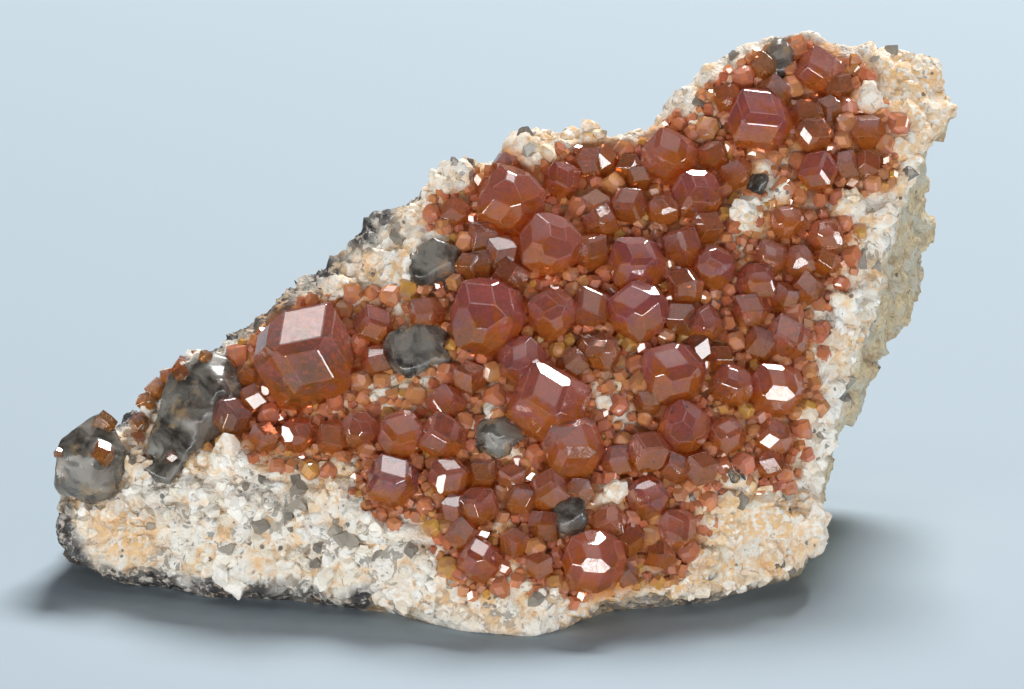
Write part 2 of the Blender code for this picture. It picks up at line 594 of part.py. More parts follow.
def build_crust(name, grow, collection):
    """The thin crust that a patch's crystals share."""
    inside, corner = crust_cells(name)
    bm = bmesh.new()
    bmesh.ops.create_grid(bm, x_segments=inside.shape[0], y_segments=inside.shape[1], size=0.5)
    cells = [(int((c.x + 0.5) * inside.shape[0]), int((c.y + 0.5) * inside.shape[1]))
             for c in (face.calc_center_median() for face in bm.faces)]
    bare = [face for face, cell in zip(bm.faces[:], cells) if not inside[cell]]
    bmesh.ops.delete(bm, geom=bare, context="FACES")
    net = np.array([v.co for v in bm.verts])
    widened = np.array([outward_step(vertex) for vertex in bm.verts]) * grow
    across = corner[0] + (net[:, 0] + 0.5) * inside.shape[0] * CRUST_CELL + widened[:, 0]
    up = corner[1] + (net[:, 1] + 0.5) * inside.shape[1] * CRUST_CELL + widened[:, 1]
    for vertex, point in zip(bm.verts, place(across, up, front_depth(across, up))):
        vertex.co = point
    crust = new_object(bm, name, collection)
    thicken = crust.modifiers.new("thicken", "SOLIDIFY")
    low, high = CRUST_FROM - grow, CRUST_TO + grow
    thicken.thickness = (high - low) * MM
    thicken.offset = 2 * high / (high - low) - 1
    thicken.use_even_offset = True
    settle(crust)
    return crust


def build_patch(name, grow, collection, helpers):
    """One patch of intergrown garnets on its crust, not yet cut to its seat."""
    patch = build_crust(name, grow, collection)
    first = 100 * list(GARNETS).index(name)
    for number, crystal in enumerate(GARNETS[name], first):
        combine(patch, build_garnet("garnet", crystal, number, grow, helpers), "UNION")
    return patch


def cut_round(made, cutters):
    for cutter in cutters:
        if reaches(made, cutter):
            combine(made, cutter, "DIFFERENCE")
    keep_one_body(made)


def finish(made, material):
    made.data.materials.clear()
    made.data.materials.append(material)


def main():
    for old in list(bpy.data.objects):
        bpy.data.objects.remove(old)
    parts = new_collection("garnet_in_matrix")
    cutters = new_collection("cutters")

    rock = build_rock(cutters)
    rest_flat(rock)
    seats = [swollen(rock, "rock_seat", GAP, cutters)]
    wide_seats = [swollen(rock, "rock_wide_seat", WIDE_GAP, cutters)]
    matrix = bpy.data.objects.new("matrix", rock.data.copy())
    parts.objects.link(matrix)
    for number in range(len(FELDSPAR_BLOCKS)):
        combine(matrix, feldspar_block(number, 0.0, cutters), "UNION")
        seats.append(feldspar_block(number, GAP, cutters))
        wide_seats.append(feldspar_block(number, WIDE_GAP, cutters))
    for number, crystal in enumerate(EDGE_GARNETS, 9000):
        combine(matrix, build_garnet("edge_garnet", crystal, number, 0.0, cutters), "UNION")
        seats.append(build_garnet("edge_garnet", crystal, number, GAP, cutters))
    keep_one_body(matrix)
    finish(matrix, new_material("rock", ROCK_COLOUR, 0.8))

    smoky = new_material("smoky quartz", QUARTZ_COLOUR, 0.35)
    quartz_seats = []
    for name in QUARTZ:
        crystal = build_quartz(name, 0.0, parts)
        cut_round(crystal, seats + quartz_seats)
        finish(crystal, smoky)
        quartz_seats.append(build_quartz(name + "_seat", GAP, cutters))
        wide_seats.append(build_quartz(name + "_seat", WIDE_GAP, cutters))

    red = new_material("garnet", GARNET_COLOUR, 0.15)
    for name in GARNETS:
        patch = build_patch(name, 0.0, parts, cutters)
        cut_round(patch, wide_seats)
        thin_out(patch, PATCH_DETAIL)
        finish(patch, red)
        wide_seats.append(build_patch(name, PATCH_GAP, cutters, cutters))

    for cutter in cutters.objects:
        cutter.hide_render = True
        cutter.display_type = "WIRE"


if __name__ == "__main__":
    main()
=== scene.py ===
import math
import random

import bmesh
import bpy
import numpy as np
from mathutils import Matrix, Quaternion, Vector, noise
from mathutils.bvhtree import BVHTree
from mathutils.kdtree import KDTree


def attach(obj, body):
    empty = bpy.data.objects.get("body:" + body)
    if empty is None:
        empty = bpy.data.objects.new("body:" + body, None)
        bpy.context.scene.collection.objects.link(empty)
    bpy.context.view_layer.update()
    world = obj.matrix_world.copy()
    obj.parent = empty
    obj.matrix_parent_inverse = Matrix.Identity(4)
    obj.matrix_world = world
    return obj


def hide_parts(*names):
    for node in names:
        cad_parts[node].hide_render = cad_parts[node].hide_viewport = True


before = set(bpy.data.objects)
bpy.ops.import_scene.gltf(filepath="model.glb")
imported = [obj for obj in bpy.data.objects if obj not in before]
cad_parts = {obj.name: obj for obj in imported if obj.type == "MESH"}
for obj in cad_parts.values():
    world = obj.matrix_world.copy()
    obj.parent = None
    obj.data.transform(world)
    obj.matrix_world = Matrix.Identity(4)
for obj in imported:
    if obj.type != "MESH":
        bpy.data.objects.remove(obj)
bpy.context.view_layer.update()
mm = 0.001

# How the specimen is laid out: across, up and depth in mm, on a plane that leans back
# and is seen from sight mm in front of it.
layout = {
    "lean": math.radians(16.0),
    "sight": 430.0,
    "sightFoot": (1.2, 29.55),
    "seat": (-1.8, 26.4, 0.0),
    "heart": (5.0, 25.0),
}
right = np.array([1.0, 0.0, 0.0])
upward = np.array([0.0, math.sin(layout["lean"]), math.cos(layout["lean"])])
inward = np.array([0.0, math.cos(layout["lean"]), -math.sin(layout["lean"])])
eye = layout["sightFoot"][0] * right + layout["sightFoot"][1] * upward - layout["sight"] * inward
seat = np.array(layout["seat"])

# The front's outline and its hollows and swells: across, up, depth.
frontRim = [
    (32.3, 9.5, 11.0), (32.0, 16.0, 12.0), (33.6, 21.0, 13.5), (35.0, 26.0, 15.0), (36.6, 31.0, 16.0),
    (38.3, 37.0, 18.0), (39.2, 43.0, 19.0), (41.4, 47.5, 20.0), (44.8, 52.5, 23.0), (43.7, 58.3, 25.0),
    (39.5, 59.0, 25.5), (35.0, 59.2, 25.5), (31.5, 60.9, 25.5), (27.5, 60.6, 25.0), (23.0, 58.0, 24.0),
    (19.0, 55.2, 23.0), (15.0, 51.0, 22.0), (11.0, 49.5, 21.5), (7.0, 50.5, 21.5), (2.5, 50.4, 21.0),
    (-1.0, 48.5, 20.5), (-5.0, 47.4, 20.0), (-9.0, 43.8, 19.0), (-13.0, 41.8, 18.5), (-17.0, 37.5, 18.0),
    (-21.5, 34.0, 17.5), (-25.5, 30.8, 17.0), (-30.0, 27.8, 17.0), (-34.0, 24.0, 17.0), (-37.5, 21.2, 17.0),
    (-41.5, 20.5, 17.0), (-43.6, 17.5, 16.5), (-44.2, 12.5, 14.5), (-43.0, 8.3, 12.5), (-39.5, 6.6, 11.0),
    (-30.0, 5.6, 8.5), (-20.0, 4.8, 6.0), (-12.0, 4.2, 4.0), (-6.5, 2.4, 2.2), (-1.0, 0.7, 0.6),
    (3.0, 0.2, 0.0), (6.5, 1.4, 1.2), (10.0, 4.1, 2.6), (16.0, 4.5, 4.5), (23.0, 5.0, 7.0), (29.0, 6.6, 9.5),
]

relief = [
    (-39.0, 12.0, 12.5), (-31.0, 13.5, 9.5), (-22.0, 14.5, 7.5), (-14.0, 12.5, 5.4), (-7.5, 9.5, 3.0),
    (0.0, 6.5, 1.4), (8.0, 7.5, 2.6), (16.0, 9.0, 5.0), (24.0, 12.5, 7.5), (30.0, 18.0, 10.5),
    (-36.0, 17.5, 15.0), (-28.0, 22.5, 13.5), (-20.0, 21.0, 11.5), (-20.0, 28.0, 14.5), (-12.0, 22.0, 9.5),
    (-12.0, 33.0, 14.5), (-5.0, 19.5, 7.0), (-4.0, 30.0, 11.5), (-5.0, 40.0, 16.5), (4.0, 15.0, 5.0),
    (4.0, 25.0, 8.5), (4.0, 35.0, 12.5), (5.0, 44.0, 17.5), (13.0, 18.0, 6.5), (13.0, 30.0, 11.0),
    (13.0, 42.0, 17.0), (20.0, 27.0, 11.0), (21.0, 36.0, 14.5), (21.0, 46.0, 19.0), (27.0, 24.0, 11.5),
    (29.0, 34.0, 15.0), (31.0, 43.0, 18.0), (29.0, 52.0, 21.5), (37.0, 49.0, 20.5), (37.0, 55.0, 23.5),
]


def place(across, up, depth):
    across = np.asarray(across, float)[..., None]
    up = np.asarray(up, float)[..., None]
    depth = np.asarray(depth, float)[..., None]
    drawn = across * right + up * upward
    return (eye + (drawn - eye) * (1 + depth / layout["sight"]) - seat) * mm


def drawnPlace(points):
    # the inverse of place: across, up, depth of world points
    offset = points / mm + seat - eye
    stretch = offset @ inward / layout["sight"]
    drawn = eye + offset / stretch[:, None]
    return drawn @ right, drawn @ upward, (stretch - 1) * layout["sight"]


def bentSheet(points):
    # a thin sheet through every (across, up, depth)
    points = np.array(points)
    spots = points[:, :2]
    count = len(points)

    def bend(distance):
        return distance ** 2 * np.log(distance + 1e-9)

    system = np.zeros((count + 3, count + 3))
    system[:count, :count] = bend(np.linalg.norm(spots[:, None] - spots[None], axis=2))
    system[:count, count] = system[count, :count] = 1
    system[:count, count + 1:] = spots
    system[count + 1:, :count] = spots.T
    weights = np.linalg.solve(system, np.append(points[:, 2], np.zeros(3)))

    def depthAt(across, up):
        at = np.stack([np.ravel(across), np.ravel(up)], axis=1)
        bent = bend(np.linalg.norm(at[:, None] - spots[None], axis=2)) @ weights[:count]
        return bent + weights[count] + at @ weights[count + 1:]

    return depthAt


frontDepth = bentSheet(frontRim + relief)


def insideFront(across, up):
    # how far inside the front's outline a place lies, towards the heart
    heart = np.array(layout["heart"])
    rim = np.array(frontRim)[:, :2] - heart
    angles = np.arctan2(rim[:, 1], rim[:, 0])
    angle = np.arctan2(up - heart[1], across - heart[0])
    reach = 1 / np.interp(angle, angles, 1 / np.hypot(rim[:, 0], rim[:, 1]), period=2 * math.pi)
    return reach - np.hypot(across - heart[0], up - heart[1])




def newPiece(bm, name):
    mesh = bpy.data.meshes.new(name)
    bm.normal_update()
    bm.to_mesh(mesh)
    bm.free()
    made = bpy.data.objects.new(name, mesh)
    bpy.context.scene.collection.objects.link(made)
    return made


def applyModifiers(made):
    graph = bpy.context.evaluated_depsgraph_get()
    mesh = bpy.data.meshes.new_from_object(made.evaluated_get(graph))
    made.modifiers.clear()
    old, made.data = made.data, mesh
    bpy.data.meshes.remove(old)


def sliceOff(bm, point, normal):
    everything = bm.verts[:] + bm.edges[:] + bm.faces[:]
    cut = bmesh.ops.bisect_plane(bm, geom=everything, plane_co=point, plane_no=normal,
                                 clear_outer=True, dist=1e-8)
    edges = [item for item in cut["geom_cut"] if isinstance(item, bmesh.types.BMEdge)]
    if edges:
        bmesh.ops.holes_fill(bm, edges=edges)


def newLayered(*names):
    bm = bmesh.new()
    for name in names:
        bm.verts.layers.float.new(name)
    bm.faces.layers.float.new("facet")
    return bm


def merge(bm, piece, turn, values, finish=0):
    # adds a finished small bmesh to a big one, turned and placed, with values for its layers
    mesh = bpy.data.meshes.new("merge")
    piece.to_mesh(mesh)
    first, firstFace = len(bm.verts), len(bm.faces)
    bm.from_mesh(mesh)
    bpy.data.meshes.remove(mesh)
    bm.verts.ensure_lookup_table()
    bm.faces.ensure_lookup_table()
    for face in bm.faces[firstFace:]:
        face.material_index = finish
    new = bm.verts[first:]
    bmesh.ops.transform(bm, matrix=turn, verts=new)
    for name, value in values.items():
        layer = bm.verts.layers.float[name]
        for vertex in new:
            vertex[layer] = value


def setAttribute(made, name, values):
    layer = made.data.attributes.get(name) or made.data.attributes.new(name, "FLOAT", "POINT")
    layer.data.foreach_set("value", np.asarray(values, np.float32))


def newMaterial(name):
    material = bpy.data.materials.new(name)
    material.use_nodes = True
    return material, material.node_tree.nodes["Principled BSDF"]


def addNode(material, kind, values=None, **settings):
    made = material.node_tree.nodes.new("ShaderNode" + kind)
    for key, value in settings.items():
        setattr(made, key, value)
    for socket, value in (values or {}).items():
        if isinstance(value, bpy.types.NodeSocket):
            material.node_tree.links.new(value, made.inputs[socket])
        else:
            made.inputs[socket].default_value = value
    return made


def join(material, source, target):
    material.node_tree.links.new(source, target)


def objectPlace(material):
    return addNode(material, "TexCoord").outputs["Object"]


def speckle(material, size, detail=3.0, rough=0.55, distortion=0.0):
    # noise with features about size mm across
    values = {"Vector": objectPlace(material), "Scale": 1 / (size * mm), "Detail": detail,
              "Roughness": rough, "Distortion": distortion}
    return addNode(material, "TexNoise", values).outputs["Fac"]


def cells(material, size, feature="F1", output="Distance", randomness=1.0):
    values = {"Vector": objectPlace(material), "Scale": 1 / (size * mm), "Randomness": randomness}
    return addNode(material, "TexVoronoi", values, feature=feature).outputs[output]


def ramp(material, value, low, high, fromValue=0.0, toValue=1.0):
    values = {"Value": value, "From Min": low, "From Max": high, "To Min": fromValue, "To Max": toValue}
    return addNode(material, "MapRange", values).outputs["Result"]


def mixColour(material, factor, a, b, blend="MIX"):
    made = addNode(material, "Mix", data_type="RGBA", blend_type=blend)
    for socket, value in ((0, factor), (6, a), (7, b)):
        if isinstance(value, bpy.types.NodeSocket):
            join(material, value, made.inputs[socket])
        elif socket:
            made.inputs[socket].default_value = (*value, 1.0)
        else:
            made.inputs[socket].default_value = value
    return made.outputs[2]


def calculate(material, operation, a, b=0.0):
    made = addNode(material, "Math", operation=operation)
    for socket, value in ((0, a), (1, b)):
        if isinstance(value, bpy.types.NodeSocket):
            join(material, value, made.inputs[socket])
        else:
            made.inputs[socket].default_value = value
    return made.outputs[0]


def attribute(material, name):
    return addNode(material, "Attribute", attribute_name=name).outputs["Fac"]


def bump(material, height, distance, strength=1.0, normal=None):
    values = {"Height": height, "Distance": distance * mm, "Strength": strength}
    if normal:
        values["Normal"] = normal
    return addNode(material, "Bump", values).outputs["Normal"]


# across, up, radius, and for a large one the direction of its brightest facet:
# degrees to the right, degrees above the level, roll about it.
garnets = {
    "garnets_left": [
        (-19.4, 28.2, 5.6, (-3, 62, 118)), (-14.0, 21.0, 2.2), (-9.8, 20.4, 2.7),
        (-5.7, 20.2, 2.5, (8, 50, 20)), (-5.0, 16.2, 2.3), (-10.7, 15.8, 2.8), (-5.4, 23.7, 2.0),
        (-12.6, 31.4, 2.2), (-12.4, 28.0, 1.6), (-7.3, 32.6, 1.9), (-3.2, 26.2, 1.8), (-16.6, 20.2, 1.9),
        (-20.2, 20.4, 2.1), (-23.6, 20.2, 1.7),
    ],
    "garnets_far_left": [
        (-26.9, 22.3, 2.3), (-24.9, 24.0, 1.5), (-25.3, 26.3, 1.1),
    ],
    "garnets_centre": [
        (-1.3, 32.2, 4.5, (-8, 52, 30)), (5.2, 32.6, 2.9, (-22, 40, 60)), (2.3, 27.8, 2.8),
        (4.9, 23.6, 4.2, (-6, 44, 15)), (7.3, 19.3, 3.5, (4, 38, 70)), (9.1, 33.2, 2.3, (0, 40, 35)),
        (10.2, 28.8, 2.2), (13.8, 32.8, 3.5, (-14, 46, 80)), (7.4, 27.6, 1.5), (9.0, 29.4, 1.5),
        (-1.6, 37.6, 1.6), (0.9, 36.2, 1.9),
    ],
    "garnets_upper": [
        (1.1, 43.8, 3.9, (4, 58, 10)), (5.0, 39.4, 3.7, (14, 44, 50)), (9.2, 38.8, 2.0),
        (-1.5, 40.2, 1.8), (0.4, 38.6, 1.9), (-3.0, 37.4, 1.6), (-4.4, 42.8, 1.5), (0.7, 47.4, 1.5),
        (6.2, 46.0, 2.1), (8.8, 47.7, 1.6), (10.4, 48.0, 1.5), (13.0, 47.3, 1.5), (9.5, 43.5, 1.7),
        (10.0, 41.6, 2.0), (12.8, 43.5, 2.1), (14.0, 46.1, 1.5),
    ],
    "garnets_ridge": [
        (16.9, 48.3, 3.0, (2, 46, 25)), (19.8, 44.5, 2.9, (10, 42, 65)), (21.3, 48.4, 1.6),
        (23.7, 46.7, 1.7), (20.6, 41.4, 1.9), (16.4, 43.0, 2.0), (18.3, 39.3, 2.2),
        (13.6, 37.6, 3.2, (-4, 50, 45)), (21.4, 37.2, 2.5), (18.6, 35.3, 2.0), (18.0, 32.2, 1.9),
        (20.3, 31.5, 2.1),
    ],
    "garnets_summit": [
        (26.0, 51.8, 3.6, (2, 52, 40)), (27.6, 54.6, 1.9), (32.0, 56.9, 2.5, (6, 46, 20)),
        (30.8, 52.5, 1.8), (31.3, 50.6, 2.1), (33.8, 55.3, 1.6), (26.6, 57.2, 1.5), (22.7, 54.2, 1.5),
        (33.0, 53.2, 1.5),
    ],
    "garnets_upper_right": [
        (31.8, 46.8, 2.3), (34.5, 47.4, 1.6), (36.8, 47.5, 1.5), (36.7, 50.8, 1.9),
    ],
    "garnets_right": [
        (28.7, 41.8, 2.0), (27.0, 38.2, 2.0), (29.8, 37.8, 2.0), (32.5, 40.4, 2.0), (32.6, 37.8, 1.5),
        (25.7, 35.7, 2.2), (30.6, 35.2, 1.7), (28.4, 34.2, 1.6), (25.1, 33.0, 1.9),
        (28.7, 30.2, 2.4, (8, 44, 30)), (26.0, 29.5, 1.8), (27.6, 25.0, 3.0, (0, 40, 55)),
        (23.3, 25.4, 2.5, (-4, 54, 15)), (22.0, 28.2, 1.5), (27.4, 20.1, 2.0), (22.7, 20.5, 2.1),
    ],
    "garnets_middle_right": [
        (17.2, 26.6, 3.6, (-6, 48, 60)), (18.4, 21.2, 3.0, (10, 36, 35)), (14.8, 18.8, 2.4),
        (14.8, 23.8, 1.5), (11.7, 17.9, 1.7), (20.0, 17.2, 1.9), (27.0, 17.6, 1.5), (17.6, 17.2, 1.6),
        (19.9, 29.2, 1.6),
    ],
    "garnets_lower": [
        (9.4, 7.8, 3.6, (-4, 42, 50)), (12.9, 10.1, 1.7), (10.9, 11.7, 2.0), (14.8, 14.2, 2.4),
        (17.6, 11.0, 2.3), (16.0, 8.6, 1.6), (12.3, 6.4, 1.6),
    ],
    "garnets_foot": [
        (-2.0, 7.9, 2.3), (-3.7, 10.5, 1.7), (1.4, 9.8, 1.6), (-2.2, 13.3, 2.2), (1.2, 16.2, 1.6),
        (-1.7, 16.5, 1.6), (2.0, 14.0, 1.7), (4.8, 14.8, 2.2), (4.4, 11.4, 1.7), (4.0, 7.4, 1.5),
        (8.0, 14.8, 1.6), (-4.6, 13.0, 1.6),
    ],
}

# Along the rock's left edge.
edgeGarnets = [
    (-36.1, 18.2, 0.9), (-36.1, 20.0, 0.9), (-36.0, 21.7, 1.1), (-35.3, 23.8, 1.1), (-34.3, 25.1, 1.1),
    (-32.9, 26.3, 1.1), (-31.7, 27.3, 1.1), (-30.4, 28.1, 0.9),
]

# Small ones between them, which the solids leave out.
smallGarnets = {
    "garnets_left": [
        (-8.4, 24.5, 1.3), (-11.0, 34.4, 1.3), (-9.2, 34.9, 1.3), (-14.0, 25.8, 1.3), (-0.5, 24.2, 1.4),
        (-15.6, 33.0, 1.2),
    ],
    "garnets_centre": [
        (9.7, 27.9, 0.9),
    ],
    "garnets_upper": [
        (12.3, 48.9, 1.2), (11.4, 45.4, 1.4), (7.9, 43.2, 1.3),
    ],
    "garnets_ridge": [
        (20.7, 51.2, 1.4), (25.7, 48.6, 1.3),
    ],
    "garnets_summit": [
        (29.6, 59.2, 1.4), (34.6, 53.2, 1.4), (24.4, 56.2, 1.4), (29.0, 55.2, 1.4), (34.6, 51.6, 1.3),
    ],
    "garnets_upper_right": [
        (29.8, 47.8, 1.1), (37.2, 45.6, 1.1), (34.2, 50.0, 1.2),
    ],
    "garnets_right": [
        (28.0, 27.9, 1.2), (29.2, 32.5, 1.4), (23.5, 29.8, 1.2),
    ],
    "garnets_middle_right": [
        (14.1, 25.6, 1.4), (12.3, 19.9, 1.1), (24.4, 17.6, 1.4), (11.8, 23.4, 1.3),
    ],
    "garnets_lower": [
        (15.1, 10.4, 1.2), (15.5, 12.3, 1.1),
    ],
}

# On the quartz at the left: across, up, radius.
onQuartz = [
    (-41.7, 22.2, 1.05), (-39.5, 21.7, 1.15), (-43.4, 20.5, 0.75), (-44.1, 18.7, 0.55), (-39.7, 18.7, 1.2),
    (-32.8, 18.3, 0.7), (-38.2, 20.6, 0.8), (-29.5, 28.2, 0.8), (-27.9, 29.2, 0.7), (-31.8, 26.6, 0.9),
]

crystalLook = {
    "manyFaced": 2.0,
    "standsOut": 0.28,
    "facetWander": 0.05,
    "inner": 0.87,
    "edgeRound": 0.018,
    "trims": (0.99, 1.03, 1.06, 1.085),
}


def coverOf(across, up, crystals, margin=0.0):
    # how far inside a crystal's outline each place lies, in mm
    every = np.array([crystal[:3] for crystal in crystals])
    gaps = np.hypot(across[:, None] - every[None, :, 0], up[:, None] - every[None, :, 1])
    return (every[None, :, 2] + margin - gaps).max(axis=1)


allCrystals = [crystal for patch in garnets.values() for crystal in patch]

# Where the stain, the dark rind (partly painted shade along the lower left edge) and so on lie: across, up, reach.
zones = {
    "stain": [(30, 52, 9), (40, 55, 8), (38, 49, 5), (26, 12, 7), (20, 9, 6), (23, 8, 4), (28, 8, 4), (-22, 21, 3.5),
              (-38, 11, 4), (-36, 19, 3), (4, 47, 8), (-6, 41, 4), (40.5, 42, 2.2), (38.5, 36, 2.2), (36, 30, 2),
              (35.5, 26, 1.6), (10, 4.5, 5), (-2, 5, 3), (-30, 18, 2), (8, 49, 5), (32, 45, 5), (27, 42, 4),
              (-14, 36, 3), (-21, 31, 3), (-17, 16, 2.5), (-25, 14, 2), (-8, 10, 2.5), (17, 6, 3)],
    "clean": [(-26, 16, 4), (-10, 12, 4), (36, 33, 2), (-9, 38.5, 3), (-14, 33, 3), (26, 44.5, 2), (12, 12, 2),
              (-31, 13, 3), (-36, 16, 2), (36.7, 54, 2.2), (38, 42.4, 1.6), (-31, 9, 3), (2, 48.8, 2)],
    "rindAndShade": [(-43, 12, 3.2), (-42.5, 8.5, 3.6), (-38, 6, 3), (-34, 5, 2.6), (-29, 4.6, 2.6), (-24, 4.4, 2.4),
             (-19, 4, 2.4), (-14, 3.6, 1.8), (-25, 32, 2.0), (-22, 34.6, 2.4), (-18, 37.6, 2.6), (-14, 41, 2.6),
             (-12, 43, 2.2)],
    "grey": [(-33, 7.5, 3), (-27, 9.5, 2.5), (-22, 12, 3.2), (-16, 9.5, 3.5), (-12, 8.5, 3), (-6, 6, 3), (4, 5, 3),
             (-24, 15.5, 2), (36.5, 30, 2.2), (36, 25, 2), (38, 38, 2), (-12, 35.5, 2), (34, 12, 3), (-4, 44, 2.5),
             (-19, 8, 3), (0, 2.5, 3)],
}


rockMake = {
    "voxel": 0.42,
    "crustSink": 0.55,
    "coverSlope": 1.2,
    "grainSize": 1.9,
    "fineSize": 0.8,
    "chipSizes": (6.5, 2.8),
    "chipTilts": (0.42, 0.5),
}


def spotsOf(kind, across, up):
    spots = np.array(zones[kind])
    gaps = np.hypot(across[:, None] - spots[None, :, 0], up[:, None] - spots[None, :, 1])
    return np.clip(1.4 - gaps / spots[None, :, 2], 0, 1).max(axis=1)


def chipped(spot, size, tilt):
    # flat chips, each with its own slope, that meet in steps
    middle = noise.voronoi(spot / size)[1][0]
    slope = noise.noise_vector(middle * 3.7 + Vector((5.2, 1.3, 8.1)))
    return max(-1.2, min(1.2, slope.dot(spot - middle * size) * tilt))


def makeRock():
    bm = bmesh.new()
    bm.from_mesh(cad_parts["matrix"].data)
    bmesh.ops.remove_doubles(bm, verts=bm.verts, dist=2e-6)
    rock = newPiece(bm, "rock")
    even = rock.modifiers.new("even", "REMESH")
    even.mode = "VOXEL"
    even.voxel_size = rockMake["voxel"] * mm
    applyModifiers(rock)
    mesh = rock.data
    count = len(mesh.vertices)
    co = np.empty(count * 3)
    mesh.vertices.foreach_get("co", co)
    co = co.reshape(-1, 3)
    normals = np.array([v.normal for v in mesh.vertices])
    across, up, depth = drawnPlace(co)
    behind = depth - frontDepth(across, up)
    facing = normals @ -inward
    onFront = (behind < 3.6) & (insideFront(across, up) > -1.0)
    cover = np.clip(coverOf(across, up, allCrystals, 0.9) / rockMake["coverSlope"], 0, 1) * onFront

    # the crust fills the seats of the garnets
    crustDepth = frontDepth(across, up) + rockMake["crustSink"]
    raised = place(across, up, np.minimum(depth, crustDepth))
    co = co * (1 - cover[:, None]) + raised * cover[:, None]

    # chips, breaks, grains and fine grain; the back and the sides have bigger chips
    resting = co[:, 2] < 0.25 * mm
    rear = np.clip((behind - 1.5) / 3.0, 0, 1)
    high = np.clip((up - 36) / 8, 0, 1)
    sway = np.empty(count)
    rough = np.empty(count)
    for i, point in enumerate(co):
        spot = Vector(point) / mm
        big = noise.voronoi(spot / rockMake["grainSize"])[0]
        small = noise.voronoi(spot / rockMake["fineSize"])[0]
        blocky = min(big[1] - big[0], 0.35) / 0.35
        fine = min(small[1] - small[0], 0.3) / 0.3
        broken = noise.noise(spot / 3.4) + 0.5 * noise.noise(spot / 1.3)
        chips = chipped(spot, rockMake["chipSizes"][0], rockMake["chipTilts"][0]) * rear[i]
        chips += chipped(spot, rockMake["chipSizes"][1], rockMake["chipTilts"][1])
        rough[i] = blocky
        # high up the rock is flatter, with chips for grains
        front = (0.6 - 0.38 * high[i]) * (blocky - 0.75) + 0.2 * (fine - 0.7) * (1 - 0.5 * high[i])
        front += 0.6 * broken + (0.5 + 0.45 * high[i]) * chips
        back = 0.16 * (blocky - 0.75) + 0.1 * (fine - 0.7) + 0.45 * broken + chips - 0.15
        sway[i] = front * (1 - rear[i]) + back * rear[i]
    sway *= 1 - 0.45 * cover
    sway[resting] = 0
    low = co[:, 2] < 1.2 * mm
    sway[low] = np.minimum(sway[low], 0)
    co += normals * (sway * mm)[:, None]
    co[:, 2] = np.maximum(co[:, 2], 0)
    mesh.vertices.foreach_set("co", co.ravel())
    mesh.update()

    wobble = np.array([noise.noise(Vector(p) / (2.5 * mm)) for p in co])
    drift = np.array([noise.noise(Vector(p) / (10 * mm) + Vector((3, 7, 1))) for p in co])
    stain = np.clip(spotsOf("stain", across, up) + 0.5 * wobble, 0, 1)
    near = np.clip((coverOf(across, up, allCrystals, 3.0)) / 3.0 + 0.4 * wobble, 0, 1)
    stain = np.clip(np.maximum(stain, 0.8 * near) - 0.75 * spotsOf("clean", across, up) * (1 - cover), 0, 1)
    grey = np.clip(spotsOf("grey", across, up) + 0.6 * wobble - 0.2, 0, 1)
    edge = insideFront(across, up)
    outer = np.clip((2.0 - edge + 1.2 * wobble) / 0.9, 0, 1)
    # painted shade: the lower left edge is darkened along with the real dark rind, where the shadow under the rock
    # falls
    leftLow = np.clip((-8 - across) / 8, 0, 1) * np.clip((8.5 - up) / 3 + 0.5 * wobble, 0, 1)
    leftBack = np.clip((-4 - across) / 14 + 1.0 * wobble + 2.0 * drift, 0, 1)
    rindAndShade = np.maximum(leftLow * np.clip((behind + 0.5) / 2, 0, 1), leftBack) * np.clip((behind - 0.8) / 1.8, 0, 1)
    # painted shade: faces turned down near the bottom are darkened into the rind
    undersideShade = np.clip(-normals[:, 2] * 1.6 - 0.3, 0, 1) * np.clip((10 - up) / 6, 0, 1) * np.clip(behind / 3, 0, 1)
    rindAndShade = np.maximum(np.maximum(rindAndShade, 0.8 * undersideShade), spotsOf("rindAndShade", across, up) * np.maximum(outer, 0.0))
    rindAndShade = np.clip(rindAndShade + 0.3 * wobble * (rindAndShade > 0.1), 0, 1)
    flank = np.clip((across - 22) / 6 + 1.2 * drift, 0, 1) * np.clip((behind - 2.0) / 2.0, 0, 1)
    setAttribute(rock, "crust", cover)
    setAttribute(rock, "stain", stain * (onFront | (behind < 6)))
    setAttribute(rock, "rindAndShade", rindAndShade)
    setAttribute(rock, "flank", flank)
    setAttribute(rock, "grain", rough)
    setAttribute(rock, "grey", grey)
    bare = (behind < 3.0) & (edge > -1.0) & (cover < 0.15) & (facing > -0.3) & (rindAndShade < 0.45)
    return rock, co, normals, bare, stain, grey


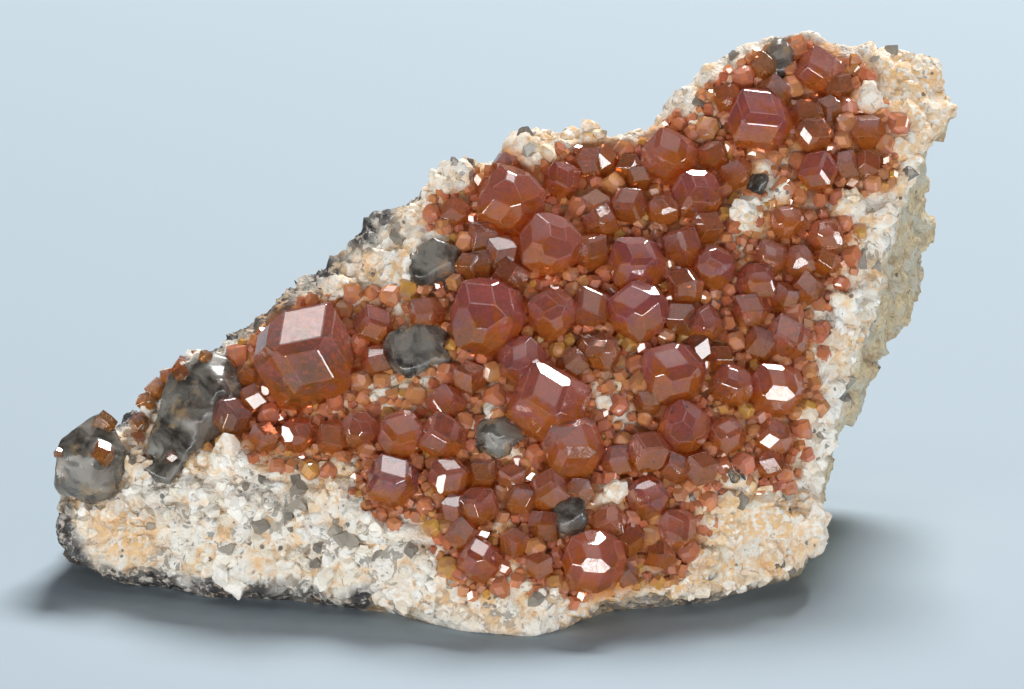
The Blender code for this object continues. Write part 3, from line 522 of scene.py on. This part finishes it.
def rockFinish():
    material, shader = newMaterial("rock")
    stain = attribute(material, "stain")
    crust = attribute(material, "crust")
    rindAndShade = attribute(material, "rindAndShade")
    flank = attribute(material, "flank")
    grain = attribute(material, "grain")
    greyness = attribute(material, "grey")
    broad = speckle(material, 3.2, 2)
    fine = speckle(material, 0.9, 3, 0.65)
    mosaic = cells(material, 1.7, output="Color")
    pick = addNode(material, "SeparateColor", {"Color": mosaic}).outputs[0]
    blots = speckle(material, 1.5, 3, 0.62, 1.4)
    white = mixColour(material, fine, (0.78, 0.72, 0.60), (0.95, 0.93, 0.89))
    white = mixColour(material, ramp(material, pick, 0.55, 0.85, 0.0, 0.45), white, (0.95, 0.94, 0.91))
    grey = mixColour(material, fine, (0.20, 0.185, 0.165), (0.58, 0.55, 0.49))
    limit = ramp(material, greyness, 0, 1, 0.60, 0.46)
    ground = mixColour(material, ramp(material, calculate(material, "SUBTRACT", blots, limit), 0, 0.05), white, grey)
    tan = mixColour(material, fine, (0.74, 0.56, 0.33), (0.87, 0.78, 0.60))
    ground = mixColour(material, ramp(material, broad, 0.52, 0.64, 0, 0.55), ground, tan)
    rust = mixColour(material, fine, (0.66, 0.27, 0.07), (0.95, 0.70, 0.36))
    creases = ramp(material, grain, 0.7, 0.1)
    stained = calculate(material, "MULTIPLY", stain, ramp(material, fine, 0.44, 0.55, 0.0, 0.95))
    cracked = calculate(material, "MULTIPLY", creases, ramp(material, broad, 0.42, 0.6, 0.1, 0.8))
    ground = mixColour(material, calculate(material, "MAXIMUM", stained, cracked), ground, rust)
    # ochre crust in the garnet seats, painted darker as the shade in the gaps between the garnets
    ochreAndGapShade = mixColour(material, fine, (0.40, 0.10, 0.02), (0.88, 0.40, 0.09))
    ground = mixColour(material, calculate(material, "MULTIPLY", crust, 0.9), ground, ochreAndGapShade)
    side = mixColour(material, ramp(material, blots, 0.35, 0.65), (0.38, 0.27, 0.13), (0.72, 0.57, 0.33))
    side = mixColour(material, ramp(material, broad, 0.46, 0.58, 0, 0.75), side, (0.50, 0.50, 0.43))
    side = mixColour(material, ramp(material, fine, 0.56, 0.66, 0, 0.7), side, (0.34, 0.16, 0.06))
    ground = mixColour(material, calculate(material, "MULTIPLY", flank, 0.9), ground, side)
    # the real dark rind and the painted shade on the undersides and lower left edge share this dark colour
    dark = mixColour(material, fine, (0.012, 0.012, 0.016), (0.10, 0.09, 0.085))
    patchy = calculate(material, "MULTIPLY", rindAndShade, ramp(material, fine, 0.62, 0.5, 0.35, 1.0))
    ground = mixColour(material, patchy, ground, dark)
    dots = ramp(material, cells(material, 2.3), 0.13, 0.09)
    ground = mixColour(material, calculate(material, "MULTIPLY", dots, 0.8), ground, (0.05, 0.045, 0.05))
    join(material, ground, shader.inputs["Base Color"])
    join(material, ramp(material, fine, 0.3, 0.7, 0.45, 0.85), shader.inputs["Roughness"])
    join(material, bump(material, fine, 0.45, 1.0), shader.inputs["Normal"])
    return material


# feldspar and quartz grains on the bare rock
grainMake = {
    "clumps": 150,
    "clumpReach": 2.2,
    "inClump": (3, 9),
    "loose": 110,
    "grey": 70,
    "sizes": (0.5, 1.5),
    "apart": 0.66,
    "rimShare": 0.35,
}


def wornGrain(dice):
    # a rounded lump with a few cleaved sides, about 1 in radius
    bm = bmesh.new()
    bmesh.ops.create_icosphere(bm, subdivisions=2, radius=1.0)
    shift = Vector([dice.uniform(-9, 9) for _ in range(3)])
    for vertex in bm.verts:
        vertex.co *= 1 + 0.6 * noise.noise(vertex.co * 1.2 + shift)
    bmesh.ops.scale(bm, vec=[dice.uniform(0.6, 1.15) for _ in range(3)], verts=bm.verts)
    for _ in range(5):
        way = Vector([dice.uniform(-1, 1) for _ in range(3)]).normalized()
        sliceOff(bm, way * dice.uniform(0.5, 0.8), way)
    return bm


def brokenGrain(dice):
    # a glassy chip with sharp edges
    bm = bmesh.new()
    bmesh.ops.create_cube(bm, size=1.7)
    for _ in range(9):
        way = Vector([dice.uniform(-1, 1) for _ in range(3)]).normalized()
        sliceOff(bm, way * dice.uniform(0.6, 0.95), way)
    return bm


def makeGrains(rock, co, normals, bare, stain, grey):
    dice = random.Random(21)
    worn = [wornGrain(dice) for _ in range(14)]
    broken = [brokenGrain(dice) for _ in range(8)]
    bareSpots = np.flatnonzero(bare & (co[:, 2] > 1.4 * mm))
    seen = KDTree(len(bareSpots))
    for order, index in enumerate(bareSpots):
        seen.insert(co[index], order)
    seen.balance()
    taken = set()
    white = newLayered("tint", "stain")
    dull = newLayered("tint", "stain")
    made = {"white": 0, "grey": 0}

    def add(index, kind, size, sink):
        point = co[index]
        cell = tuple(int(c // (grainMake["apart"] * mm)) for c in point)
        if cell in taken:
            return
        taken.add(cell)
        axis = Vector([dice.uniform(-1, 1) for _ in range(3)]).normalized()
        turn = Quaternion(axis, dice.uniform(0, 2 * math.pi)).to_matrix().to_4x4()
        spot = Vector(point) - Vector(normals[index]) * size * sink * mm
        placed = Matrix.Translation(spot) @ turn @ Matrix.Scale(size * mm, 4)
        shape = dice.choice(worn if kind == "white" else broken)
        values = {"tint": dice.random(), "stain": float(stain[index])}
        merge(white if kind == "white" else dull, shape, placed, values)
        made[kind] += 1

    low, high = grainMake["sizes"]
    for _ in range(grainMake["clumps"]):
        middle = bareSpots[dice.randrange(len(bareSpots))]
        if grey[middle] > 0.5 and dice.random() < 0.7:
            continue
        # the rock's upper rim carries few lumps
        if co[middle][2] > 24 * mm and dice.random() > grainMake["rimShare"]:
            continue
        reach = dice.uniform(0.5, 1.0) * grainMake["clumpReach"] * mm
        near = [bareSpots[order] for _, order, _ in seen.find_range(Vector(co[middle]), reach)]
        for index in dice.sample(near, min(len(near), dice.randint(*grainMake["inClump"]))):
            away = (Vector(co[index]) - Vector(co[middle])).length / reach
            add(index, "white", dice.uniform(low, high) * (1.1 - 0.35 * away), 0.5 * away + 0.05)
    for _ in range(grainMake["loose"]):
        add(bareSpots[dice.randrange(len(bareSpots))], "white", dice.uniform(0.3, 0.8), 0.4)
    tries = 0
    while made["grey"] < grainMake["grey"] and tries < 4000:
        tries += 1
        index = bareSpots[dice.randrange(len(bareSpots))]
        if dice.random() < 0.15 + grey[index]:
            add(index, "grey", dice.uniform(0.4, 1.0), 0.35)
    for shape in worn + broken:
        shape.free()
    print("grains", made)
    return newPiece(white, "feldspar_grains"), newPiece(dull, "quartz_grains")


def feldsparFinish():
    material, shader = newMaterial("feldspar")
    tint = attribute(material, "tint")
    stain = attribute(material, "stain")
    fine = speckle(material, 0.7, 3, 0.6)
    white = mixColour(material, tint, (0.86, 0.79, 0.66), (0.95, 0.93, 0.88))
    rust = mixColour(material, fine, (0.66, 0.28, 0.06), (0.90, 0.66, 0.34))
    amount = calculate(material, "MULTIPLY", stain, ramp(material, fine, 0.40, 0.60, 0.0, 0.95))
    thin = ramp(material, speckle(material, 1.6, 2), 0.54, 0.68, 0.0, 0.5)
    ground = mixColour(material, calculate(material, "MAXIMUM", amount, thin), white, rust)
    join(material, ground, shader.inputs["Base Color"])
    join(material, ramp(material, fine, 0.3, 0.7, 0.35, 0.65), shader.inputs["Roughness"])
    join(material, bump(material, fine, 0.2, 0.9), shader.inputs["Normal"])
    return material


def greyGrainFinish():
    material, shader = newMaterial("grey_quartz_grain")
    tint = attribute(material, "tint")
    fine = speckle(material, 0.6, 4)
    ground = mixColour(material, tint, (0.20, 0.18, 0.155), (0.62, 0.57, 0.49))
    ground = mixColour(material, ramp(material, fine, 0.5, 0.7, 0, 0.6), ground, (0.55, 0.46, 0.34))
    join(material, ground, shader.inputs["Base Color"])
    shader.inputs["Roughness"].default_value = 0.2
    shader.inputs["Transmission Weight"].default_value = 0.35
    shader.inputs["IOR"].default_value = 1.54
    join(material, bump(material, fine, 0.08, 0.5), shader.inputs["Normal"])
    return material


def unitNormals():
    twelve = []
    many = []
    for first in (-1, 1):
        for second in (-1, 1):
            twelve += [(first, second, 0), (0, first, second), (second, 0, first)]
            for third in (-1, 1):
                many += [(2 * first, second, third), (first, 2 * second, third), (first, second, 2 * third)]
    return [Vector(v).normalized() for v in twelve], [Vector(v).normalized() for v in many]


dodecahedron, trapezohedron = unitNormals()


def facingTurn(toRight, above, roll):
    # turns the facet (110) to the given side and height
    side, high = math.radians(toRight), math.radians(above)
    way = Vector((math.sin(side) * math.cos(high), -math.cos(side) * math.cos(high), math.sin(high)))
    onto = Vector((1, 1, 0)).normalized().rotation_difference(way)
    return Quaternion(way, math.radians(roll)) @ onto


def garnetShape(radius, dice, faceted=True, trim=1.085):
    # radius in mm, centred on nothing, not turned; a smaller trim widens the narrow facets
    inner = radius * crystalLook["inner"]
    wander = crystalLook["facetWander"]
    shape = bmesh.new()
    bmesh.ops.create_cube(shape, size=radius * 4 * mm)
    for normal in dodecahedron:
        sliceOff(shape, normal * inner * (1 + dice.uniform(-wander, wander)) * mm, normal)
    if faceted:
        for normal in trapezohedron:
            sliceOff(shape, normal * inner * (trim + dice.uniform(-wander, wander)) * mm, normal)
    bmesh.ops.remove_doubles(shape, verts=shape.verts, dist=radius * 0.012 * mm)
    return shape


def addCrystal(bm, shape, spot, turn, radius, tint, finish=0):
    merge(bm, shape, Matrix.Translation(spot) @ turn.to_matrix().to_4x4(), {"tint": tint, "size": radius}, finish)
    # every facet gets its own painted shade, and the narrow edges the palest, a painted highlight
    dice = random.Random(tint)
    facet = bm.faces.layers.float["facet"]
    bm.faces.ensure_lookup_table()
    for face in bm.faces[-len(shape.faces):]:
        narrow = face.calc_area() < 0.021 * face.calc_perimeter() ** 2
        face[facet] = 1.0 if narrow else 0.85 * dice.random()
    # how high each point lies in its own crystal, from -1 to 1
    layer = bm.verts.layers.float["height"]
    bm.verts.ensure_lookup_table()
    for vertex in bm.verts[-len(shape.verts):]:
        vertex[layer] = (vertex.co - spot).dot(Vector(upward)) / (radius * mm)
    shape.free()


def makePatch(name, crystals, first, small, smallSeed):
    bm = newLayered("tint", "size", "height")
    for number, crystal in enumerate(crystals, first):
        across, up, radius = crystal[:3]
        dice = random.Random(1000 + number)
        wild = (dice.uniform(-35, 35), dice.uniform(25, 65), dice.uniform(0, 360))
        turn = facingTurn(*(crystal[3] if len(crystal) > 3 else wild))
        shape = garnetShape(radius, dice, radius >= crystalLook["manyFaced"], dice.choice(crystalLook["trims"]))
        bmesh.ops.bevel(shape, geom=shape.edges[:], offset=radius * crystalLook["edgeRound"] * mm, segments=1,
                        profile=0.5, affect="EDGES", clamp_overlap=True, material=-1)
        spot = Vector(place(across, up, frontDepth(across, up)[0] - crystalLook["standsOut"] * radius))
        addCrystal(bm, shape, spot, turn, radius, dice.random())
    dice = random.Random(smallSeed)
    for across, up, radius in small:
        wild = (dice.uniform(-50, 50), dice.uniform(0, 80), dice.uniform(0, 360))
        shape = garnetShape(radius, dice, radius > 0.85, 1.04)
        spot = Vector(place(across, up, frontDepth(across, up)[0] + dice.uniform(-0.45, 0.15) * radius))
        addCrystal(bm, shape, spot, facingTurn(*wild), radius, dice.random(), 1)
    return newPiece(bm, name)


def makeOnQuartz(pieces):
    # the few small crystals that sit on the quartz
    bm = newLayered("tint", "size", "height")
    dice = random.Random(4)
    trees = []
    for piece in pieces:
        solid = bmesh.new()
        solid.from_mesh(piece.data)
        trees.append(BVHTree.FromBMesh(solid))
        solid.free()
    for across, up, radius in onQuartz:
        near, far = [Vector(place(across, up, depth)) for depth in (-15.0, 25.0)]
        hits = [tree.ray_cast(near, (far - near).normalized(), (far - near).length) for tree in trees]
        hits = [(hit[3], hit[0]) for hit in hits if hit[0]]
        if not hits:
            continue
        turn = facingTurn(dice.uniform(-50, 50), dice.uniform(0, 80), dice.uniform(0, 360))
        spot = min(hits)[1] + (far - near).normalized() * 0.25 * radius * mm
        addCrystal(bm, garnetShape(radius, dice, False), spot, turn, radius, dice.random())
    return newPiece(bm, "garnets_on_quartz")


def garnetFinish():
    material, shader = newMaterial("garnet")
    tint = attribute(material, "tint")
    size = attribute(material, "size")
    height = attribute(material, "height")
    large = ramp(material, size, 1.2, 2.8)
    cloud = speckle(material, 2.4, 2, 0.55, 0.8)
    veil = speckle(material, 0.6, 2, 0.6, 1.0)
    orange = mixColour(material, tint, (0.96, 0.32, 0.12), (1.0, 0.50, 0.19))
    red = mixColour(material, tint, (0.70, 0.26, 0.30), (0.98, 0.44, 0.32))
    ground = mixColour(material, large, orange, red)
    facet = attribute(material, "facet")
    # painted reflection: pale mauve on the narrow and some other facets high on each crystal, where the overhead
    # light reflects
    paintedSheen = calculate(material, "MULTIPLY", ramp(material, facet, 0.5, 0.75), ramp(material, height, -0.1, 0.5, 0, 0.85))
    ground = mixColour(material, paintedSheen, ground, (0.92, 0.68, 0.70))
    # painted glow: the lower part of each crystal, with cloudy patches, is painted orange as if lit through
    glow = calculate(material, "ADD", calculate(material, "MULTIPLY", height, -0.3), cloud)
    ground = mixColour(material, ramp(material, glow, 0.44, 0.64, 0.0, 1.0), ground, (1.0, 0.38, 0.07))
    ground = mixColour(material, ramp(material, veil, 0.60, 0.74, 0.0, 0.35), ground, (0.95, 0.66, 0.55))
    # painted shade and highlight: each facet darker or lighter by its own value, the narrow edges lightest
    shade = ramp(material, facet, 0, 1, 0.72, 1.12)
    ground = mixColour(material, 1.0, ground, addNode(material, "CombineColor", {0: shade, 1: shade, 2: shade}).outputs[0],
                       "MULTIPLY")
    join(material, ground, shader.inputs["Base Color"])
    join(material, ramp(material, veil, 0.4, 0.75, 0.015, 0.14), shader.inputs["Roughness"])
    shader.inputs["Transmission Weight"].default_value = 0.81
    shader.inputs["IOR"].default_value = 1.8
    absorb = addNode(material, "VolumeAbsorption")
    absorb.inputs["Color"].default_value = (0.95, 0.52, 0.36, 1.0)
    absorb.inputs["Density"].default_value = 150.0
    join(material, absorb.outputs[0], material.node_tree.nodes["Material Output"].inputs["Volume"])
    return material


def smallGarnetFinish():
    material, shader = newMaterial("small_garnet")
    tint = attribute(material, "tint")
    cloud = speckle(material, 1.1, 1, 0.55, 0.6)
    ground = mixColour(material, ramp(material, tint, 0, 0.85), (0.88, 0.26, 0.12), (1.0, 0.46, 0.17))
    ground = mixColour(material, ramp(material, tint, 0.88, 0.95), ground, (1.0, 0.54, 0.12))
    ground = mixColour(material, ramp(material, cloud, 0.45, 0.65, 0.0, 0.6), ground, (0.84, 0.34, 0.26))
    # painted shade and highlight: each facet darker or lighter by its own value, the narrow edges lightest
    shade = ramp(material, attribute(material, "facet"), 0, 1, 0.66, 1.15)
    ground = mixColour(material, 1.0, ground, addNode(material, "CombineColor", {0: shade, 1: shade, 2: shade}).outputs[0],
                       "MULTIPLY")
    join(material, ground, shader.inputs["Base Color"])
    shader.inputs["Roughness"].default_value = 0.06
    shader.inputs["Transmission Weight"].default_value = 0.38
    shader.inputs["IOR"].default_value = 1.8
    return material


def scatterSmall():
    # fills the gaps between the garnets with small crystals
    dice = random.Random(5)
    found = []
    every = [crystal[:3] for crystal in allCrystals] + [c for patch in smallGarnets.values() for c in patch]
    tries = 0
    while len(found) < scatter["count"] and tries < 30000:
        tries += 1
        across = dice.uniform(-38, 40)
        up = dice.uniform(3, 60)
        radius = scatter["smallest"] + (scatter["largest"] - scatter["smallest"]) * dice.random() ** 2
        a, u = np.array([across]), np.array([up])
        inside = coverOf(a, u, allCrystals, scatter["margin"])[0]
        if inside < 0 or insideFront(a, u)[0] < 1.2:
            continue
        if inside < scatter["margin"] and dice.random() > 0.5 + 0.5 * inside / scatter["margin"]:
            continue
        if any(math.hypot(across - c[0], up - c[1]) < c[2] * 0.86 + radius * 0.35 for c in every):
            continue
        found.append((across, up, radius))
        every.append(found[-1])
    print("small garnets", len(found))
    return found


scatter = {"count": 620, "smallest": 0.5, "largest": 1.3, "margin": 1.7}


quartzLook = {"voxel": 0.33, "broad": 0.4, "fractures": 0.1, "lift": 0.06}


def makeQuartz(node):
    bm = bmesh.new()
    bm.from_mesh(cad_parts[node].data)
    bmesh.ops.remove_doubles(bm, verts=bm.verts, dist=2e-6)
    made = newPiece(bm, node + "_crystal")
    even = made.modifiers.new("even", "REMESH")
    even.mode = "VOXEL"
    even.voxel_size = quartzLook["voxel"] * mm
    applyModifiers(made)
    bm = bmesh.new()
    bm.from_mesh(made.data)
    for _ in range(4):
        bmesh.ops.smooth_vert(bm, verts=bm.verts, factor=0.5, use_axis_x=True, use_axis_y=True, use_axis_z=True)
    bm.normal_update()
    for vertex in bm.verts:
        spot = vertex.co / mm
        split = noise.voronoi(spot / 3.6)[0]
        step = quartzLook["broad"] * noise.noise(spot / 3.0) + quartzLook["lift"]
        step -= quartzLook["fractures"] * (1 - min((split[1] - split[0]) / 0.25, 1))
        vertex.co += vertex.normal * step * mm
    bm.to_mesh(made.data)
    bm.free()
    made.data.shade_smooth()
    return made


def quartzFinish():
    material, shader = newMaterial("smoky_quartz")
    cloud = speckle(material, 2.8, 3, 0.6, 0.8)
    fine = speckle(material, 0.7, 3, 0.6)
    ground = mixColour(material, ramp(material, cloud, 0.38, 0.60), (0.09, 0.08, 0.07), (0.44, 0.41, 0.36))
    stained = ramp(material, speckle(material, 1.9, 2, 0.6), 0.60, 0.72, 0.0, 0.6)
    ground = mixColour(material, stained, ground, (0.85, 0.58, 0.30))
    join(material, ground, shader.inputs["Base Color"])
    join(material, ramp(material, cloud, 0.42, 0.62, 0.14, 0.36), shader.inputs["Roughness"])
    shader.inputs["Transmission Weight"].default_value = 0.62
    shader.inputs["IOR"].default_value = 1.54
    join(material, bump(material, fine, 0.06, 0.4), shader.inputs["Normal"])
    absorb = addNode(material, "VolumeAbsorption")
    absorb.inputs["Color"].default_value = (0.66, 0.60, 0.52, 1.0)
    absorb.inputs["Density"].default_value = 380.0
    join(material, absorb.outputs[0], material.node_tree.nodes["Material Output"].inputs["Volume"])
    return material


print("rock")
rock, co, normals, bare, stain, grey = makeRock()
rock.data.materials.clear()
rock.data.materials.append(rockFinish())
rock.data.shade_smooth()
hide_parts("matrix")
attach(rock, "root")

print("grains")
whiteGrains, greyGrains = makeGrains(rock, co, normals, bare, stain, grey)
whiteGrains.data.materials.append(feldsparFinish())
greyGrains.data.materials.append(greyGrainFinish())
for piece in (whiteGrains, greyGrains):
    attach(piece, "root")

print("garnets")
garnetMaterials = [garnetFinish(), smallGarnetFinish()]
loose = scatterSmall()
centres = {name: np.array([c[:2] for c in patch]) for name, patch in garnets.items()}
filler = {name: [] for name in garnets}
for crystal in loose:
    nearest = min(centres, key=lambda name: np.hypot(*(centres[name] - np.array(crystal[:2])).T).min())
    filler[nearest].append(crystal)
for order, (node, patch) in enumerate(garnets.items()):
    small = smallGarnets.get(node, []) + filler[node]
    piece = makePatch(node + "_crystals", patch, 100 * order, small, 500 + order)
    for material in garnetMaterials:
        piece.data.materials.append(material)
    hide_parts(node)
    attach(piece, "root")
    print(piece.name, len(piece.data.polygons))

print("edge garnets")
edgePiece = makePatch("edge_garnets", edgeGarnets, 9000, [], 77)
edgePiece.data.materials.append(garnetMaterials[0])
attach(edgePiece, "root")

print("quartz")
quartzMaterial = quartzFinish()
quartzPieces = []
for node in [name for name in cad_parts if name.startswith("quartz")]:
    piece = makeQuartz(node)
    quartzPieces.append(piece)
    piece.data.materials.clear()
    piece.data.materials.append(quartzMaterial)
    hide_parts(node)
    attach(piece, "root")

dots = makeOnQuartz(quartzPieces)
dots.data.materials.append(garnetMaterials[0])
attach(dots, "root")

stage = {
    "floor": (0.40, 0.485, 0.555),
    "world": (0.78, 0.82, 0.88),
    "worldStrength": 0.07,
}

# around from the front, above the level (degrees), distance, size, power, colour
lamps = {
    "behind right": (162, 53, 1.9, (0.75, 0.50), 50.0, (1.0, 0.99, 0.97)),
    "overhead": (0, 106, 1.6, (0.36, 0.28), 1.5, (1.0, 1.0, 1.0)),
    "overhead front": (-8, 70, 1.2, (0.80, 0.55), 1.2, (1.0, 1.0, 1.0)),
    "front left": (-42, 2, 0.95, (2.0, 0.11), 8.3, (1.0, 0.985, 0.96)),
    "front right": (46, 2, 0.95, (2.0, 0.11), 6.6, (0.97, 0.985, 1.0)),
}


def makeFloor():
    bm = bmesh.new()
    bmesh.ops.create_grid(bm, x_segments=1, y_segments=1, size=4.0)
    floor = newPiece(bm, "floor")
    material, shader = newMaterial("floor")
    shader.inputs["Base Color"].default_value = (*stage["floor"], 1.0)
    shader.inputs["Roughness"].default_value = 0.7
    shader.inputs["Specular IOR Level"].default_value = 0.2
    floor.data.materials.append(material)


def makeLight(name, around, above, distance, size, power, colour):
    data = bpy.data.lights.new(name, "AREA")
    data.shape = "RECTANGLE"
    data.size, data.size_y = size
    data.energy = power
    data.color = colour
    lamp = bpy.data.objects.new(name, data)
    bpy.context.scene.collection.objects.link(lamp)
    side, high = math.radians(around), math.radians(above)
    way = Vector((math.sin(side) * math.cos(high), -math.cos(side) * math.cos(high), math.sin(high)))
    lamp.location = Vector((0, 0, 0.025)) + way * distance
    lamp.rotation_euler = way.to_track_quat("Z", "Y").to_euler()


makeFloor()
for name, lamp in lamps.items():
    makeLight(name, *lamp)

world = bpy.data.worlds.new("studio")
world.use_nodes = True
background = world.node_tree.nodes["Background"]
background.inputs["Color"].default_value = (*stage["world"], 1.0)
background.inputs["Strength"].default_value = stage["worldStrength"]
bpy.context.scene.world = world

sightCamera = bpy.data.cameras.new("sight")
sightCamera.sensor_width = 36.0
sightCamera.lens = 36.0 * layout["sight"] / 102.4
sightCamera.clip_start = 0.01
camera = bpy.data.objects.new("sight", sightCamera)
bpy.context.scene.collection.objects.link(camera)
camera.matrix_world = Matrix.Translation(Vector((eye - seat) * mm)) @ Matrix((
    (*right, 0), (*upward, 0), (*-inward, 0), (0, 0, 0, 1))).transposed().to_3x3().to_4x4()
bpy.context.scene.camera = camera
bpy.context.scene.view_settings.view_transform = "Standard"
